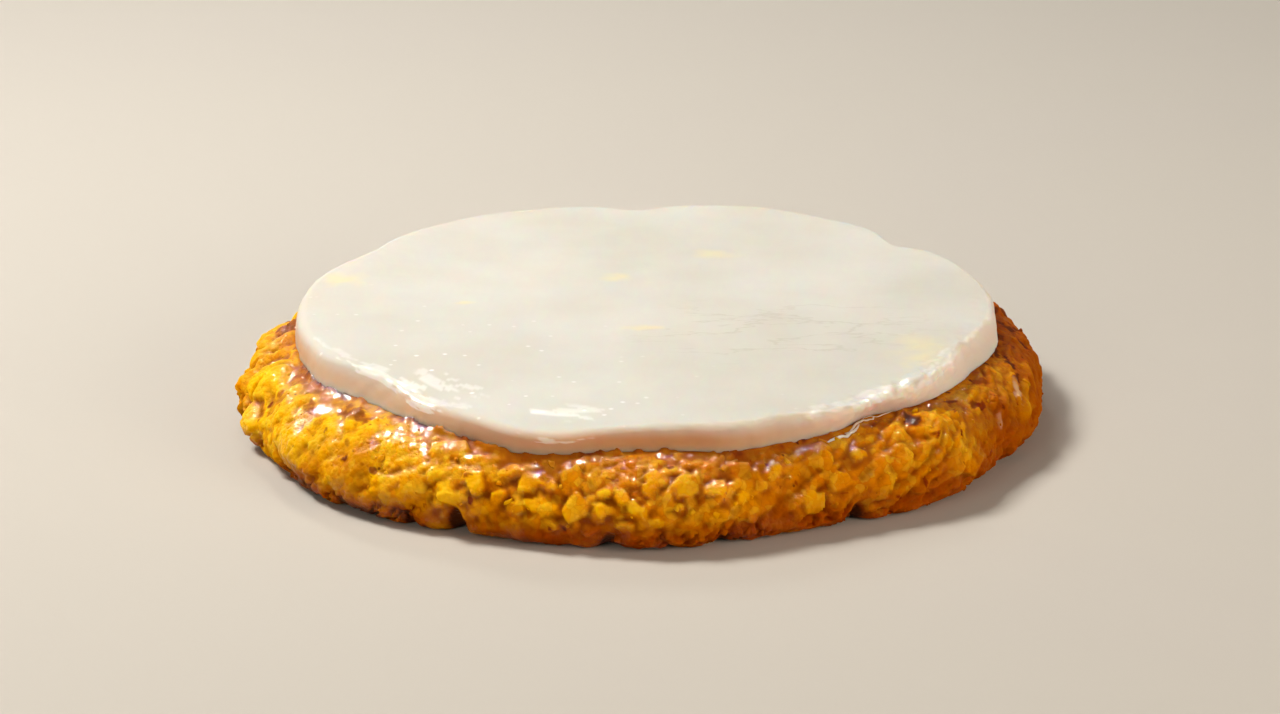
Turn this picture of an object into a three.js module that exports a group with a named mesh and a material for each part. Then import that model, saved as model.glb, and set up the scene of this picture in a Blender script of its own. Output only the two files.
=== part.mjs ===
// Arepa de choclo: a griddled cake of coarse sweet corn with a slice of fresh white cheese lying on it.
// Millimetres, +Z up. The origin is the centre of the flat underside that the cake rests on, and the
// cook's side, where the slice of cheese reaches furthest out, is towards -Y.
import * as THREE from "three";

const DEGREE = Math.PI / 180;

// ---- Driving sizes of the corn cake ----
const CAKE_RADIUS = 64.3; // mean radius of the widest ring
const CAKE_TOP = 13.3; // height of the flat griddled top
const SHOULDER = 9.8; // how far in from the widest ring the top starts to fall away
const SHOULDER_CHANGES = [
  // the cake is fullest towards the cook and slumps most on the left
  { at: -84, by: -2.6, wide: 48 },
  { at: 176, by: 2.8, wide: 38 },
];
const WIDEST_AT = 4.0; // height of the widest ring, which is low because the mash sags as it cooks
const HEEL = 3.4; // how far the side tucks in under the widest ring
const FULLNESS = 1.9; // superellipse power of the shoulder: 2 is a round shoulder, 1 a straight slope
const LEAN = 0.25; // the shoulder is fuller on the +X side by this much, and flatter on the -X side
const SHOULDER_RUN = 14.5; // length of the shoulder's curve, along which its lumps are laid out
const HEEL_RUN = 5.5; // the same for the heel

// ---- Relief of the crust ----
const CRAGS = { cell: 6.2, height: 1.15, salt: 3 }; // clumps of whole and broken kernels
const GRITS = { cell: 3.3, height: 0.75, salt: 17 }; // coarse grits between them
const RELIEF_SINK = 0.85; // how far the crust's mean surface lies below its highest lumps
const BARE_MARGIN = 3.0; // the lumps rise over this width outside the foot of the cheese
const HEEL_FADE = 1.4; // the lumps fade out over this height above the underside
const SPLITS = [
  // dry splits that open upwards from the lower edge: angle, half width, depth, height
  { at: -115, wide: 1.1, deep: 2.6, high: 3.4 },
  { at: -94, wide: 1.6, deep: 1.8, high: 3.0 },
  { at: -79, wide: 1.2, deep: 1.5, high: 2.6 },
  { at: -133, wide: 1.3, deep: 1.2, high: 2.4 },
  { at: -59, wide: 1.4, deep: 1.7, high: 3.2 },
  { at: -22, wide: 1.5, deep: 1.6, high: 3.0 },
  { at: 27, wide: 1.3, deep: 2.0, high: 3.6 },
  { at: 71, wide: 1.2, deep: 1.7, high: 2.8 },
  { at: 118, wide: 1.7, deep: 2.2, high: 3.5 },
  { at: 163, wide: 1.2, deep: 1.5, high: 2.7 },
];
const SKIRTS = [
  // grooves along the lower edge, with a thin crisp skirt left under each: middle, half length, depth
  { at: -42, wide: 17, deep: 1.5 },
  { at: -148, wide: 8, deep: 0.9 },
  { at: 98, wide: 13, deep: 1.2 },
];
const SKIRT_HEIGHT = 2.7; // height of those grooves above the underside
const SKIRT_GROOVE = 0.9; // half width of those grooves

// ---- Driving sizes of the cheese ----
const SLICE_RADIUS = 56.4; // mean radius of the top face
const SLICE_OVAL = 1.1; // the slice is this much longer towards +Y and -Y, and shorter towards +X and -X
const SLICE_OFF_CENTRE = 1.0; // it lies this far towards +X
const SLICE_THICKNESS = 3.8; // mean thickness at the rim
const SLICE_UNEVEN = 0.15; // the hand-cut slice is this much thicker towards +X and -X, and thinner in between
const SLICE_EDGE = 1.2; // rounding of the top edge
const SLICE_FLARE = 0.2; // the softened foot spreads this far past the top face
const REST_GAP = 0.3; // clearance between the cheese and the corn under it

// Outlines bulge (by > 0) or dent (by < 0) at these angles, in degrees from +X, over these half widths.
const CAKE_LOBES = [
  { at: -172, by: -0.6, wide: 14 },
  { at: -133, by: 1.8, wide: 13 },
  { at: -89, by: 0.9, wide: 9 },
  { at: -65, by: -1.5, wide: 11 },
  { at: -43, by: 0.6, wide: 7 },
  { at: -31, by: -0.7, wide: 6 },
  { at: -5, by: -0.3, wide: 22 },
  { at: 38, by: -0.7, wide: 12 },
  { at: 74, by: 0.8, wide: 13 },
  { at: 104, by: -0.6, wide: 9 },
  { at: 137, by: 0.5, wide: 11 },
  { at: 163, by: -1.1, wide: 11 },
];
const SLICE_LOBES = [
  { at: -138, by: -2.5, wide: 10 },
  { at: -107, by: 2.8, wide: 10 },
  { at: -77, by: 1.0, wide: 6 },
  { at: -52, by: -1.5, wide: 5 },
  { at: -24, by: -2.2, wide: 14 },
  { at: 38, by: -3.2, wide: 6 },
  { at: 67, by: 1.2, wide: 9 },
  { at: 92, by: -3.9, wide: 6 },
  { at: 120, by: 1.2, wide: 8 },
  { at: 149, by: -2.0, wide: 9 },
];
const FOOT_LOBES = [
  // how the foot of the slice departs from its top outline
  { at: -141, by: 1.7, wide: 12 },
  { at: -107, by: -0.8, wide: 9 },
  { at: -52, by: -1.5, wide: 15 },
  { at: -19, by: 1.3, wide: 14 },
  { at: 38, by: 1.4, wide: 8 },
  { at: 92, by: 1.6, wide: 8 },
];
const THIN_SPOT = { at: -55, by: -0.5, wide: 14 }; // where the slice was cut thinnest

// ---- How finely the two solids are cut into faces ----
const CAKE_AROUND = 240;
const CAKE_TOP_RINGS = [0, 0.5, 0.84];
const SHOULDER_STEPS = 12;
const HEEL_STEPS = 5;
const CAKE_BASE_RINGS = [0.9, 0];
const SLICE_AROUND = 120;
const SLICE_TOP_RINGS = [0, 0.3, 0.55, 0.78];
const SLICE_EDGE_STEPS = 3;
const SLICE_SIDE_STEPS = 2;
const SLICE_BASE_RINGS = [0.97, 0.94, 0.8, 0];

const clamp01 = (t) => Math.min(1, Math.max(0, t));
const smooth = (t) => clamp01(t) ** 2 * (3 - 2 * clamp01(t));

// A bell curve of an angle around a lobe's own angle, both in degrees.
function bell(angle, lobe) {
  const apart = ((((angle - lobe.at) % 360) + 540) % 360) - 180;
  return Math.exp(-((apart / lobe.wide) ** 2));
}

const lobes = (angle, list) => list.reduce((sum, lobe) => sum + lobe.by * bell(angle, lobe), 0);

// A repeatable number from 0 to 1 for one cell of the crust.
function chance(column, row, salt) {
  const s = Math.sin(column * 127.1 + row * 311.7 + salt * 74.7) * 43758.5453;
  return s - Math.floor(s);
}

// Rounded lumps, one for each cell of a jittered grid that runs round the crust and down its profile.
// Where lumps meet, the higher one shows, so creases form between them.
function lumps(angle, down, { cell, height, salt }) {
  const columns = Math.round((2 * Math.PI * CAKE_RADIUS) / cell);
  const x = (((angle % 360) + 360) % 360) / 360 * columns;
  const y = down / cell;
  let highest = 0;
  for (let row = Math.floor(y) - 1; row <= Math.floor(y) + 1; row++) {
    for (let i = Math.floor(x) - 1; i <= Math.floor(x) + 1; i++) {
      const column = (i + columns) % columns;
      const dx = x - i - chance(column, row, salt);
      const dy = y - row - chance(column, row, salt + 1);
      const reach = 0.65 + 0.45 * chance(column, row, salt + 2);
      const dome = Math.sqrt(Math.max(0, 1 - (dx * dx + dy * dy) / reach ** 2));
      highest = Math.max(highest, dome * (0.35 + 0.65 * chance(column, row, salt + 3)));
    }
  }
  return height * highest;
}

// ---- Outlines ----
const cakeRadius = (angle) => CAKE_RADIUS + lobes(angle, CAKE_LOBES);
const shoulderWidth = (angle) => SHOULDER + lobes(angle, SHOULDER_CHANGES);
const sliceRim = (angle) => SLICE_RADIUS - SLICE_OVAL * Math.cos(2 * angle * DEGREE) + lobes(angle, SLICE_LOBES);
const sliceFoot = (angle) => sliceRim(angle) + SLICE_FLARE + lobes(angle, FOOT_LOBES);
const sliceThickness = (angle) =>
  SLICE_THICKNESS + SLICE_UNEVEN * Math.cos(2 * angle * DEGREE) + THIN_SPOT.by * bell(angle, THIN_SPOT);

// The smooth shoulder of the cake: a quarter superellipse from the flat top (turn 0) to the widest ring (turn 1).
function shoulderAt(angle, turn) {
  const power = 2 / (FULLNESS + LEAN * Math.cos(angle * DEGREE));
  const out = Math.sin(turn * 90 * DEGREE) ** power;
  const up = Math.max(0, Math.cos(turn * 90 * DEGREE)) ** power;
  return { r: cakeRadius(angle) - shoulderWidth(angle) * (1 - out), z: WIDEST_AT + (CAKE_TOP - WIDEST_AT) * up };
}

// Height of the smooth crust at a radius, on the flat top or the shoulder.
function crustHeight(angle, r) {
  const power = FULLNESS + LEAN * Math.cos(angle * DEGREE);
  const out = clamp01(1 - (cakeRadius(angle) - r) / shoulderWidth(angle));
  return WIDEST_AT + (CAKE_TOP - WIDEST_AT) * (1 - out ** power) ** (1 / power);
}

// A place given by angle and radius about one middle, given again about a middle that lies `shift` further
// towards +X.
function aboutMiddleAt(shift, angle, r) {
  const x = r * Math.cos(angle * DEGREE) - shift;
  const y = r * Math.sin(angle * DEGREE);
  return { angle: Math.atan2(y, x) / DEGREE, r: Math.hypot(x, y) };
}

// Height of the crust right under a place that is given about the middle of the slice.
function crustUnderSlice(sliceAngle, sliceR) {
  const { angle, r } = aboutMiddleAt(-SLICE_OFF_CENTRE, sliceAngle, sliceR);
  return crustHeight(angle, r);
}

// How far the splits and the skirt grooves cut into the side at the lower edge.
function cutDepth(angle, z) {
  const splits = SPLITS.map((split) => split.deep * bell(angle, split) * smooth(1 - z / split.high));
  const groove = Math.exp(-(((z - SKIRT_HEIGHT) / SKIRT_GROOVE) ** 2));
  const skirts = SKIRTS.map((skirt) => skirt.deep * bell(angle, skirt) * groove);
  return Math.max(...splits, ...skirts);
}

// Moves a point of the smooth skin out by its lumps and in by its splits, along the profile's normal.
function crusted(angle, point, normal, down) {
  const seen = aboutMiddleAt(SLICE_OFF_CENTRE, angle, point.r);
  const clearOfCheese = smooth((seen.r - sliceFoot(seen.angle)) / BARE_MARGIN);
  const clearOfBase = smooth(point.z / HEEL_FADE);
  const relief = lumps(angle, down, CRAGS) + lumps(angle, down, GRITS) - RELIEF_SINK;
  const rise = relief * clearOfCheese * clearOfBase;
  const cut = cutDepth(angle, point.z);
  return { r: point.r + rise * normal.r - cut, z: Math.max(0, point.z + rise * normal.z) };
}

// The cake's profile from the middle of the top, over the shoulder and heel, to the middle of the underside.
function cakeProfile() {
  const places = CAKE_TOP_RINGS.map((share) => ({
    at: (angle) => ({ r: share * (cakeRadius(angle) - shoulderWidth(angle)), z: CAKE_TOP }),
    normal: { r: 0, z: 1 },
    down: 0,
  }));
  for (let k = 0; k <= SHOULDER_STEPS; k++) {
    const turn = k / SHOULDER_STEPS;
    places.push({
      at: (angle) => shoulderAt(angle, turn),
      normal: { r: Math.sin(turn * 90 * DEGREE), z: Math.cos(turn * 90 * DEGREE) },
      down: turn * SHOULDER_RUN,
    });
  }
  for (let k = 1; k <= HEEL_STEPS; k++) {
    const turn = (k / HEEL_STEPS) * 90 * DEGREE;
    places.push({
      at: (angle) => ({ r: cakeRadius(angle) - HEEL * (1 - Math.cos(turn)), z: WIDEST_AT * (1 - Math.sin(turn)) }),
      normal: { r: Math.cos(turn), z: -Math.sin(turn) },
      down: SHOULDER_RUN + (k / HEEL_STEPS) * HEEL_RUN,
    });
  }
  for (const share of CAKE_BASE_RINGS) {
    places.push({
      at: (angle) => ({ r: share * (cakeRadius(angle) - HEEL), z: 0 }),
      normal: { r: 0, z: -1 },
      down: SHOULDER_RUN + HEEL_RUN,
    });
  }
  return places.map((place) => (angle) => crusted(angle, place.at(angle), place.normal, place.down));
}

// The slice's profile from the middle of its top face, round the edge and down the side, to the middle of its base.
function sliceProfile() {
  const foot = (angle) => crustUnderSlice(angle, sliceFoot(angle)) + REST_GAP;
  const rim = (angle) => CAKE_TOP + REST_GAP + sliceThickness(angle);
  const middle = CAKE_TOP + REST_GAP + SLICE_THICKNESS;
  const places = SLICE_TOP_RINGS.map((share) => (angle) => ({
    r: share * (sliceRim(angle) - SLICE_EDGE),
    z: THREE.MathUtils.lerp(middle, rim(angle), share ** 2),
  }));
  for (let k = 0; k <= SLICE_EDGE_STEPS; k++) {
    const turn = (k / SLICE_EDGE_STEPS) * 90 * DEGREE;
    places.push((angle) => ({
      r: sliceRim(angle) - SLICE_EDGE * (1 - Math.sin(turn)),
      z: rim(angle) - SLICE_EDGE * (1 - Math.cos(turn)),
    }));
  }
  for (let k = 1; k <= SLICE_SIDE_STEPS; k++) {
    const share = k / SLICE_SIDE_STEPS;
    places.push((angle) => ({
      r: THREE.MathUtils.lerp(sliceRim(angle), sliceFoot(angle), share),
      z: THREE.MathUtils.lerp(rim(angle) - SLICE_EDGE, foot(angle), share),
    }));
  }
  for (const share of SLICE_BASE_RINGS) {
    places.push((angle) => ({
      r: share * sliceFoot(angle),
      z: crustUnderSlice(angle, share * sliceFoot(angle)) + REST_GAP,
    }));
  }
  return places;
}

// Turns a profile round the Z axis. Its first and last places are single points on the axis, and each of the
// others is a ring with its own radius and height at every angle.
function turned(profile, around) {
  const points = [];
  const faces = [];
  const rings = profile.length - 2;
  const addPoint = (place, angle) => {
    const { r, z } = place(angle);
    points.push(r * Math.cos(angle * DEGREE), r * Math.sin(angle * DEGREE), z);
  };
  for (const place of profile.slice(1, -1)) {
    for (let i = 0; i < around; i++) addPoint(place, (360 * i) / around);
  }
  addPoint(profile[0], 0);
  addPoint(profile[rings + 1], 0);
  const top = rings * around;
  const bottom = top + 1;
  for (let i = 0; i < around; i++) {
    const next = (i + 1) % around;
    faces.push(top, i, next);
    for (let k = 0; k < rings - 1; k++) {
      const upper = k * around;
      const lower = upper + around;
      faces.push(upper + i, lower + i, lower + next);
      faces.push(upper + i, lower + next, upper + next);
    }
    const last = (rings - 1) * around;
    faces.push(last + i, bottom, last + next);
  }
  const skin = new THREE.BufferGeometry();
  skin.setAttribute("position", new THREE.Float32BufferAttribute(points, 3));
  skin.setIndex(faces);
  skin.computeVertexNormals();
  return skin;
}

const cornCrust = new THREE.MeshStandardMaterial({ color: "#e29a1c", roughness: 0.45, metalness: 0 });
const freshCheese = new THREE.MeshStandardMaterial({ color: "#f3eee0", roughness: 0.35, metalness: 0 });

const cornCake = new THREE.Mesh(turned(cakeProfile(), CAKE_AROUND), cornCrust);
cornCake.name = "corn_cake";

const cheeseSlice = new THREE.Mesh(turned(sliceProfile(), SLICE_AROUND), freshCheese);
cheeseSlice.name = "cheese_slice";
cheeseSlice.position.x = SLICE_OFF_CENTRE;

const arepa = new THREE.Group();
arepa.add(cornCake, cheeseSlice);

export default arepa;
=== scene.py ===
# %% [markdown]
# # Arepa de choclo with fresh cheese
#
# A griddled cake of coarse sweet corn, with a slice of fresh white cheese lying on it. This lesson builds
# every visible surface as a grid of points worked out with numpy, and paints it with procedural materials.
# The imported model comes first: it is the frame that every new surface has to fit.

# %% Load the frame
import itertools
import math

import bpy
import numpy as np
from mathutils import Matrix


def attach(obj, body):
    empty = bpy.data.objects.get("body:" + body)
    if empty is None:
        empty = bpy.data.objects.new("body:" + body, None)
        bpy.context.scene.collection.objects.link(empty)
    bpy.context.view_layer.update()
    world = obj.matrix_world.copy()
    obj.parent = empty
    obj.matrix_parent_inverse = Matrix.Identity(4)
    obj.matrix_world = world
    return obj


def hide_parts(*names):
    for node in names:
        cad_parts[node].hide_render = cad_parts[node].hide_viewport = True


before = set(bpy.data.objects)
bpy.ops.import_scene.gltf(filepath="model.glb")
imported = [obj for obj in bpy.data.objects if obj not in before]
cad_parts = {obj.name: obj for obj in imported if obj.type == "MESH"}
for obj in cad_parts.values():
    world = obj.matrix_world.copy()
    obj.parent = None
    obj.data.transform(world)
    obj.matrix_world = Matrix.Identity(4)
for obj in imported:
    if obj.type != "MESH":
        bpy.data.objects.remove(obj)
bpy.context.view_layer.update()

# %% [markdown]
# ## Driving sizes
#
# The cake and the slice have the same outlines as the solids they stand for, so the same few sizes drive
# them here, in millimetres. An outline is a circle with soft bulges and dents at given angles, and the
# profile is a flat top, a rounded shoulder and a heel that tucks in to the surface the cake lies on.

# %% Sizes of the cake and the slice
MM = 0.001
CAKE_RADIUS = 64.3
CAKE_TOP = 13.3
SHOULDER = 9.8
WIDEST_AT = 4.0
HEEL = 3.4
FULLNESS = 1.9
LEAN = 0.25
SHOULDER_RUN = 14.5
HEEL_RUN = 5.5
SLICE_RADIUS = 56.4
SLICE_OVAL = 1.1
SLICE_OFF_CENTRE = 1.0
SLICE_THICKNESS = 3.8
SLICE_UNEVEN = 0.15
SLICE_EDGE = 1.2
SLICE_FLARE = 0.2
REST_GAP = 0.3

# Each row is the angle in degrees from +X, how far it bulges, and its half width in degrees.
CAKE_LOBES = [(-172, -0.6, 14), (-133, 1.8, 13), (-89, 0.9, 9), (-65, -1.5, 11), (-43, 0.6, 7),
              (-31, -0.7, 6), (-5, -0.3, 22), (38, -0.7, 12), (74, 0.8, 13), (104, -0.6, 9),
              (137, 0.5, 11), (163, -1.1, 11)]
SHOULDER_CHANGES = [(-84, -2.6, 48), (176, 2.8, 38)]
SLICE_LOBES = [(-138, -2.5, 10), (-107, 2.8, 10), (-77, 1.0, 6), (-52, -1.5, 5), (-24, -2.2, 14),
               (38, -3.2, 6), (67, 1.2, 9), (92, -3.9, 6), (120, 1.2, 8), (149, -2.0, 9)]
FOOT_LOBES = [(-141, 1.7, 12), (-107, -0.8, 9), (-52, -1.5, 15), (-19, 1.3, 14), (38, 1.4, 8), (92, 1.6, 8)]
THIN_SPOT = [(-55, -0.5, 14)]


def turn_from(at, angle):
    """Degrees of turn from `at` to an angle, between -180 and 180."""
    return (angle - at + 180) % 360 - 180


def bell(angle, at, wide):
    """A bell curve of an angle around `at`, in degrees: e to the minus square of the turn over `wide`."""
    return np.exp(-((turn_from(at, angle) / wide) ** 2))


def lobes(angle, rows):
    """The sum of the bulges and dents of an outline at an angle."""
    return sum(by * bell(angle, at, wide) for at, by, wide in rows)


def smooth(t):
    """0 below 0, 1 above 1, and an S-curve between: three t squared minus two t cubed."""
    t = np.clip(t, 0, 1)
    return t * t * (3 - 2 * t)


def mix(a, b, share):
    """`share` of the way from a to b."""
    return a + (b - a) * share


def cake_radius(angle):
    """Radius of the cake's widest ring: a circle with the bulges and dents of its outline."""
    return CAKE_RADIUS + lobes(angle, CAKE_LOBES)


def shoulder_width(angle):
    """How far in from the widest ring the flat top begins."""
    return SHOULDER + lobes(angle, SHOULDER_CHANGES)


def fullness(angle):
    """Power of the shoulder's superellipse, fuller on the +X side."""
    return FULLNESS + LEAN * np.cos(np.radians(angle))


def slice_rim(angle):
    """Radius of the slice's top edge about its own middle: an oval with bulges and dents."""
    return SLICE_RADIUS - SLICE_OVAL * np.cos(np.radians(2 * angle)) + lobes(angle, SLICE_LOBES)


def slice_foot(angle):
    """Radius at which the slice's side ends on the crust: the rim, a small flare and its own lobes."""
    return slice_rim(angle) + SLICE_FLARE + lobes(angle, FOOT_LOBES)


def slice_thickness(angle):
    """Thickness of the slice: nearly even, a little less at the sides and at one thin spot."""
    return SLICE_THICKNESS + SLICE_UNEVEN * np.cos(np.radians(2 * angle)) + lobes(angle, THIN_SPOT)


def crust_height(angle, r):
    """Height of the smooth crust: the flat top, then a superellipse that falls to the widest ring."""
    power = fullness(angle)
    out = np.clip(1 - (cake_radius(angle) - r) / shoulder_width(angle), 0, 1)
    return WIDEST_AT + (CAKE_TOP - WIDEST_AT) * (1 - out**power) ** (1 / power)


def about_middle_at(shift, angle, r):
    """A place given by angle and radius, given again about a middle that lies `shift` further towards +X."""
    x = r * np.cos(np.radians(angle)) - shift
    y = r * np.sin(np.radians(angle))
    return np.degrees(np.arctan2(y, x)), np.hypot(x, y)


eight_ways = np.arange(0, 360, 45)
print("radius of the cake in eight directions:", cake_radius(eight_ways).round(1))
print("radius of the slice in eight directions:", slice_rim(eight_ways).round(1))

# %% [markdown]
# ## Chance, noise and heaps of grains
#
# Ground corn is a heap of broken grains of many sizes. Sculpting it by hand would take days, and a plain
# noise looks like clay. A cell pattern fits better: space is cut into cubes, each cube holds one grain with
# its own middle, level, lie and slant, and at every point of the skin the highest grain shows. Where two
# grains meet, a crease forms by itself. All of it comes from one repeatable hash, so nothing is random.

# %% Noise helpers
def chance(*cell):
    """A repeatable number from 0 to 1 for each cell: the fraction left of a large multiple of a sine."""
    weights = (127.1, 311.7, 74.7, 269.5)
    s = np.sin(sum(c * w for c, w in zip(cell, weights))) * 43758.5453
    return s - np.floor(s)


def cloud(p, size, salt, octaves=3):
    """Soft noise from about -1 to 1: chance at the corners of cubes of `size` mm, blended by S-curves, plus
    copies at half the size and half the strength."""
    total = np.zeros(p.shape[:-1])
    for octave in range(octaves):
        q = p / size * 2**octave + 17.3 * octave
        cell = np.floor(q)
        t = smooth(q - cell)
        for corner in itertools.product((0, 1), repeat=3):
            share = np.prod(np.where(np.array(corner) == 1, t, 1 - t), axis=-1)
            value = chance(*np.moveaxis(cell + corner, -1, 0), salt + octave)
            total += share * (2 * value - 1) * 0.5**octave
    return total


def unit(vectors):
    """Vectors of length 1 in the same directions."""
    return vectors / (np.linalg.norm(vectors, axis=-1, keepdims=True) + 1e-9)


def heap(p, size, salt, slant=1.0, steep=2.2, melt=0.03):
    """A heap of broken, blocky grains of `size` mm. Each is a slanted plateau with flat sides in its own
    turned frame: its height falls with the largest of its three distances from the middle. Grains melt
    together by a soft maximum: `melt` times the log of the sum of e to each height over `melt`. Gives that
    height in cell sizes, and a tone from 0 to 1 that belongs to the highest grain."""
    q = p / size
    home = np.floor(q)
    total = np.zeros(q.shape[:-1])
    highest = np.full(q.shape[:-1], -9.0)
    tone = np.zeros_like(highest)
    for step in itertools.product((-1, 0, 1), repeat=3):
        cell = home + step
        draw = [chance(*np.moveaxis(cell, -1, 0), salt + n) for n in range(11)]
        apart = q - cell - np.stack(draw[0:3], axis=-1)
        first = unit(np.stack(draw[3:6], axis=-1) - 0.5)
        face = np.stack(draw[6:9], axis=-1) - 0.5
        second = unit(np.cross(first, face))
        third = np.cross(first, second)
        reach = np.max([np.abs(np.sum(apart * axis, axis=-1)) / long
                        for axis, long in ((first, 1.2), (second, 0.95), (third, 0.75))], axis=0)
        height = 0.7 * draw[9] + slant * np.sum(apart * face, axis=-1) - steep * np.maximum(reach - 0.32, 0)
        total += np.exp(height / melt)
        tone = np.where(height > highest, draw[10], tone)
        highest = np.maximum(height, highest)
    return melt * np.log(total), tone


def standing(height, drowned, melt=0.05):
    """How far grains stand out of a mash that drowns a share of the surface: the mash lies at that quantile
    of the height, and the result is a soft maximum of the height above it and 0."""
    return melt * np.log1p(np.exp((height - np.quantile(height, drowned)) / melt))


def lumps(angle, down, cell, height, salt):
    """The clumps that the solid has too: domes on a jittered grid round the crust and down its profile."""
    columns = round(2 * math.pi * CAKE_RADIUS / cell)
    x = angle % 360 / 360 * columns
    y = down / cell
    highest = np.zeros(np.broadcast(x, y).shape)
    for above, beside in itertools.product((-1, 0, 1), repeat=2):
        row = np.floor(y) + above
        i = np.floor(x) + beside
        column = (i + columns) % columns
        dx = x - i - chance(column, row, salt)
        dy = y - row - chance(column, row, salt + 1)
        reach = 0.65 + 0.45 * chance(column, row, salt + 2)
        dome = np.sqrt(np.maximum(0, 1 - (dx * dx + dy * dy) / reach**2))
        highest = np.maximum(highest, dome * (0.35 + 0.65 * chance(column, row, salt + 3)))
    return height * highest


print("chance of the first six cells:", chance(np.arange(6.0)).round(2))

# %% [markdown]
# ## Meshes from grids
#
# Every large surface here is a grid: rows run down a profile and columns run round the axis. The corner
# numbers of all its faces come from array arithmetic, and foreach_set copies the arrays into the mesh in
# one go. The open first and last rings are closed by one flat many-sided face each.

# %% Mesh helpers
def make_piece(name, points, corners, sizes):
    """A mesh object from points in mm, the corner numbers of all faces in a row, and each face's count."""
    mesh = bpy.data.meshes.new(name)
    mesh.vertices.add(len(points))
    mesh.vertices.foreach_set("co", (points * MM).astype(np.float32).ravel())
    mesh.loops.add(len(corners))
    mesh.loops.foreach_set("vertex_index", corners.astype(np.int32))
    mesh.polygons.add(len(sizes))
    starts = np.concatenate([[0], np.cumsum(sizes)[:-1]])
    mesh.polygons.foreach_set("loop_start", starts.astype(np.int32))
    mesh.update(calc_edges=True)
    mesh.validate()
    mesh.shade_smooth()
    piece = bpy.data.objects.new(name, mesh)
    bpy.context.scene.collection.objects.link(piece)
    return piece


def ring_quads(rows, columns):
    """Quads of a grid that closes round the axis: a point, the one below, the next one below, the next."""
    upper = np.arange(rows - 1)[:, None] * columns + np.arange(columns)
    after = np.arange(rows - 1)[:, None] * columns + (np.arange(columns) + 1) % columns
    return np.stack([upper, upper + columns, after + columns, after], axis=-1).reshape(-1, 4)


def turned_faces(rows, columns):
    """The quads of a closed grid, then a lid on the first ring and one on the last."""
    quads = ring_quads(rows, columns)
    top_lid = np.arange(columns)
    bottom_lid = (rows - 1) * columns + top_lid[::-1]
    corners = np.concatenate([quads.ravel(), top_lid, bottom_lid])
    return corners, np.concatenate([np.full(len(quads), 4), [columns, columns]])


def paint(piece, **masks):
    """Stores arrays of one number for each point as attributes that the material reads."""
    for name, values in masks.items():
        layer = piece.data.attributes.new(name, "FLOAT", "POINT")
        layer.data.foreach_set("value", np.ascontiguousarray(values, dtype=np.float32).ravel())


print("faces of a grid of 3 rows and 4 columns:", len(turned_faces(3, 4)[1]))

# %% [markdown]
# ## The corn cake
#
# The real cake is a thick mash of ground sweet corn, pressed into a disc and fried on a griddle. Broken
# kernels stick in a softer paste. The front shows them as blocks with cut faces, the left is torn into soft
# shreds, the far left lies in thick round folds, the right was smeared by the griddle, and the lower edge is
# split and crisp.
#
# A sculpt, a displacement modifier or loose grains on a ball could make such a crust. A sculpt can't be
# written down, a modifier knows nothing of the outline, and loose grains look like gravel. So the skin is a
# grid along the same profile as the solid, and numpy pushes every point out along the profile's normal.

# %% Skin of the corn cake
AROUND = 1400
TOP_ROWS = 4
SHOULDER_ROWS = 48
HEEL_ROWS = 17
RELIEF_SINK = 0.85
OVERHANG = 0.04

SPLITS = [(-115, 1.3, 3.2, 8.0), (-122, 1.0, 1.6, 6.0), (-94, 1.6, 2.2, 5.6), (-79, 1.2, 1.8, 5.0),
          (-133, 1.3, 1.4, 5.0), (-59, 1.4, 2.4, 6.5), (-22, 1.5, 1.8, 5.6), (-36, 1.0, 1.4, 5.2),
          (27, 1.3, 2.0, 6.0), (71, 1.2, 1.7, 5.2), (118, 1.7, 2.2, 6.0),
          (163, 1.2, 1.6, 5.4)]  # angle, half width, depth, height
SKIRTS = [(-44, 15, 1.3, 4.2), (-148, 8, 0.9, 2.7), (98, 13, 1.2, 2.7)]  # angle, half length, depth, height
SKIRT_GROOVE = 0.9
FRINGE_DEPTH = 1.1
FRINGE_TOP = 5.6

quarter = math.pi / 2
angle = np.arange(AROUND) * 360 / AROUND
turn = np.concatenate([np.zeros(TOP_ROWS), np.linspace(0, 1, SHOULDER_ROWS), np.ones(HEEL_ROWS + 1)])
tuck = np.concatenate([np.zeros(TOP_ROWS + SHOULDER_ROWS), np.linspace(0, 1, HEEL_ROWS + 1)[1:], [1]])
inset = np.concatenate([np.linspace(6, 0.8, TOP_ROWS), np.zeros(SHOULDER_ROWS + HEEL_ROWS), [5]])
turn, tuck, inset = turn[:, None], tuck[:, None], inset[:, None]

power = 2 / fullness(angle)
out = np.sin(turn * quarter) ** power
up = np.cos(turn * quarter).clip(0) ** power
r = cake_radius(angle) - shoulder_width(angle) * (1 - out) - HEEL * (1 - np.cos(tuck * quarter)) - inset
z = np.where(tuck > 0, WIDEST_AT * (1 - np.sin(tuck * quarter)), WIDEST_AT + (CAKE_TOP - WIDEST_AT) * up)
normal_r = np.where(tuck > 0, np.cos(tuck * quarter), np.sin(turn * quarter))
normal_z = np.where(tuck > 0, -np.sin(tuck * quarter), np.cos(turn * quarter))
down = turn * SHOULDER_RUN + tuck * HEEL_RUN
cosine, sine = np.cos(np.radians(angle)), np.sin(np.radians(angle))
skin = np.stack([r * cosine, r * sine, z + 0 * r], axis=-1)
normal = np.stack([normal_r * cosine, normal_r * sine, normal_z + 0 * r], axis=-1)

seen_angle, seen_r = about_middle_at(SLICE_OFF_CENTRE, angle, r)
beyond_foot = seen_r - slice_foot(seen_angle)
print("grid of the crust:", r.shape)

# %% [markdown]
# Three layers of relief lie on one another, each finer and lower than the last: folds and heaps of 3 to 5 mm,
# flakes and chips of 1.5 mm, and a roughness of 0.8 mm. The function `region` tells how much of each kind of
# surface shows at an angle, with soft borders. The kernels that catch the eye are placed one by one: `slab`
# makes each as a polygon with a slanting cut face, and the crust takes that face where it stands higher.

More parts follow.
